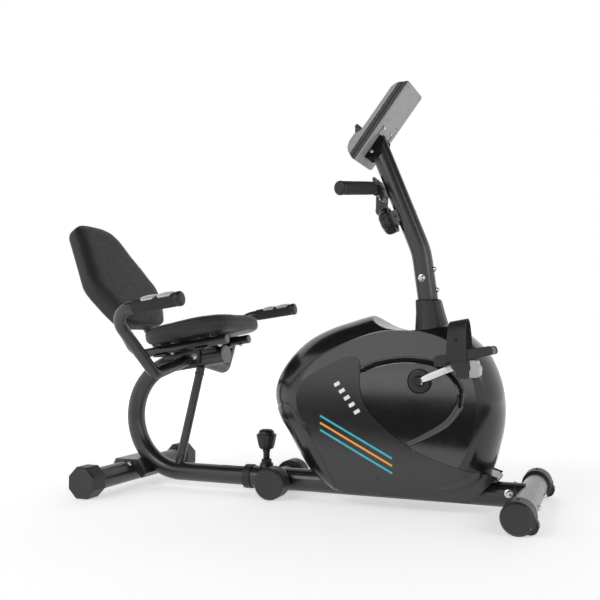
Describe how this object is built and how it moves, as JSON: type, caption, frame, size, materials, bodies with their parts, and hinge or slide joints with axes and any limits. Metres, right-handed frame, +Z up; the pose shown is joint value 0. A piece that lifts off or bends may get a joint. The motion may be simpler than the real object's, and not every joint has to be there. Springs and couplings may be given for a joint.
{
  "type": "recumbent exercise bike",
  "caption": "Semi-recumbent magnetic exercise bike with a sliding C-frame seat, padded backrest, side and front handlebars, console, enclosed flywheel drive and strapped pedals",
  "frame": {"origin": "middle of the overall length and width, on the floor", "axes": "+X towards the flywheel end (rider faces +X), +Y to the rider's left, +Z up"},
  "size_m": [1.3692, 0.7178, 1.0721],
  "materials": {
    "frame_paint": "semi-gloss black powder coat",
    "trim_plastic": "fine-grained black moulding",
    "rubber": "black rubber",
    "steel": "zinc plated",
    "grey_plastic": "fine-grained grey moulding",
    "screen": "grey-green display window",
    "shell_plastic": "semi-gloss charcoal moulding",
    "foam": "closed-cell foam sleeve",
    "vinyl": "grained black upholstery vinyl",
    "chrome": "bright plated",
    "iron": "machined and painted"
  },
  "bodies": {
    "front_frame": {"front_base_tube": "frame_paint", "sleeve_collar": "trim_plastic", "front_foot_tube": "frame_paint", "upright_stub": "frame_paint", "drive_belt": "rubber", "flywheel_axle": "steel", "idler_arm": "steel", "upright_post": "frame_paint", "post_cover": "trim_plastic", "tension_housing": "grey_plastic", "front_handlebar": "frame_paint", "bar_clamp": "frame_paint", "console_body": "grey_plastic", "console_screen": "screen", "front_cap_right": "trim_plastic", "middle_cap_right": "trim_plastic", "crank_bearing_right": "steel", "flywheel_bracket_right": "frame_paint", "housing_right": "shell_plastic", "front_grip_right": "foam", "front_cap_left": "trim_plastic", "middle_cap_left": "trim_plastic", "crank_bearing_left": "steel", "flywheel_bracket_left": "frame_paint", "housing_left": "shell_plastic", "front_grip_left": "foam"},
    "rear_frame": {"rear_main_tube": "frame_paint", "frame_end_cap": "grey_plastic", "frame_strut": "frame_paint", "seat_carrier": "frame_paint", "rear_saddle": "frame_paint", "seat_cushion": "vinyl", "backrest_cushion": "vinyl", "rear_foot_tube": "frame_paint", "rear_cap_right": "trim_plastic", "seat_rail_right": "frame_paint", "seat_handlebar_right": "frame_paint", "seat_grip_right": "foam", "rear_cap_left": "trim_plastic", "seat_rail_left": "frame_paint", "seat_handlebar_left": "frame_paint", "seat_grip_left": "foam"},
    "crank": {"crank_axle": "steel", "crank_pulley": "grey_plastic", "crank_arm_right": "chrome", "crank_arm_left": "chrome"},
    "pedal_set_right": {"pedal_right": "trim_plastic", "pedal_strap_right": "rubber"},
    "pedal_set_left": {"pedal_left": "trim_plastic", "pedal_strap_left": "rubber"},
    "flywheel_rotor": {"flywheel": "iron"},
    "idler": {"idler_roller": "trim_plastic"},
    "magnet_carrier": {"magnet_bracket": "steel"},
    "tension_dial": {"tension_knob": "trim_plastic"},
    "lock_pin": {"adjuster_knob": "trim_plastic"},
    "roller_right": {"transport_roller_right": "rubber"},
    "roller_left": {"transport_roller_left": "rubber"},
    "button_1": {"console_button_1": "trim_plastic"},
    "button_2": {"console_button_2": "trim_plastic"},
    "button_3": {"console_button_3": "trim_plastic"}
  },
  "joints": [
    {"name": "seat_slide", "type": "slide", "parent": "front_frame", "child": "rear_frame", "axis": [1, 0, 0], "range_m": [-0.06, 0.12]},
    {"name": "crank_spin", "type": "hinge", "parent": "front_frame", "child": "crank", "pos_m": [0.402, 0, 0.317], "axis": [0, 1, 0], "continuous": true},
    {"name": "pedal_spin_right", "type": "hinge", "parent": "crank", "child": "pedal_set_right", "pos_m": [0.51419, -0.146, 0.36233], "axis": [0, 1, 0], "continuous": true},
    {"name": "pedal_spin_left", "type": "hinge", "parent": "crank", "child": "pedal_set_left", "pos_m": [0.28981, 0.146, 0.27167], "axis": [0, 1, 0], "continuous": true},
    {"name": "flywheel_spin", "type": "hinge", "parent": "front_frame", "child": "flywheel_rotor", "pos_m": [0.153, 0, 0.238], "axis": [0, 1, 0], "continuous": true},
    {"name": "idler_spin", "type": "hinge", "parent": "front_frame", "child": "idler", "pos_m": [0.271, 0.036, 0.199], "axis": [0, 1, 0], "continuous": true},
    {"name": "tension_turn", "type": "hinge", "parent": "front_frame", "child": "tension_dial", "pos_m": [0.337, 0, 0.74], "axis": [-0.9333, 0, -0.3591], "range_deg": [0, 270]},
    {"name": "magnet_swing", "type": "hinge", "parent": "front_frame", "child": "magnet_carrier", "pos_m": [0.11, -0.01, 0.113], "axis": [0, 1, 0], "range_deg": [0, 2.8]},
    {"name": "lock_pin_pull", "type": "slide", "parent": "front_frame", "child": "lock_pin", "axis": [0, 0, 1], "range_m": [0, 0.012], "stiffness_N_per_m": 700, "springref_m": -0.008},
    {"name": "roller_spin_right", "type": "hinge", "parent": "front_frame", "child": "roller_right", "pos_m": [0.665, -0.208, 0.022], "axis": [0, 1, 0], "continuous": true},
    {"name": "roller_spin_left", "type": "hinge", "parent": "front_frame", "child": "roller_left", "pos_m": [0.665, 0.208, 0.022], "axis": [0, 1, 0], "continuous": true},
    {"name": "button_1_press", "type": "slide", "parent": "front_frame", "child": "button_1", "axis": [0.7854, 0, -0.619], "range_m": [0, 0.0017], "stiffness_N_per_m": 500, "springref_m": -0.001},
    {"name": "button_2_press", "type": "slide", "parent": "front_frame", "child": "button_2", "axis": [0.7854, 0, -0.619], "range_m": [0, 0.0017], "stiffness_N_per_m": 500, "springref_m": -0.001},
    {"name": "button_3_press", "type": "slide", "parent": "front_frame", "child": "button_3", "axis": [0.7854, 0, -0.619], "range_m": [0, 0.0017], "stiffness_N_per_m": 500, "springref_m": -0.001}
  ],
  "couplings": [
    {"joint": "crank_spin", "follows": "flywheel_spin", "ratio": 0.2},
    {"joint": "idler_spin", "follows": "flywheel_spin", "ratio": -1.3333},
    {"joint": "magnet_swing", "follows": "tension_turn", "ratio": 0.0102}
  ]
}
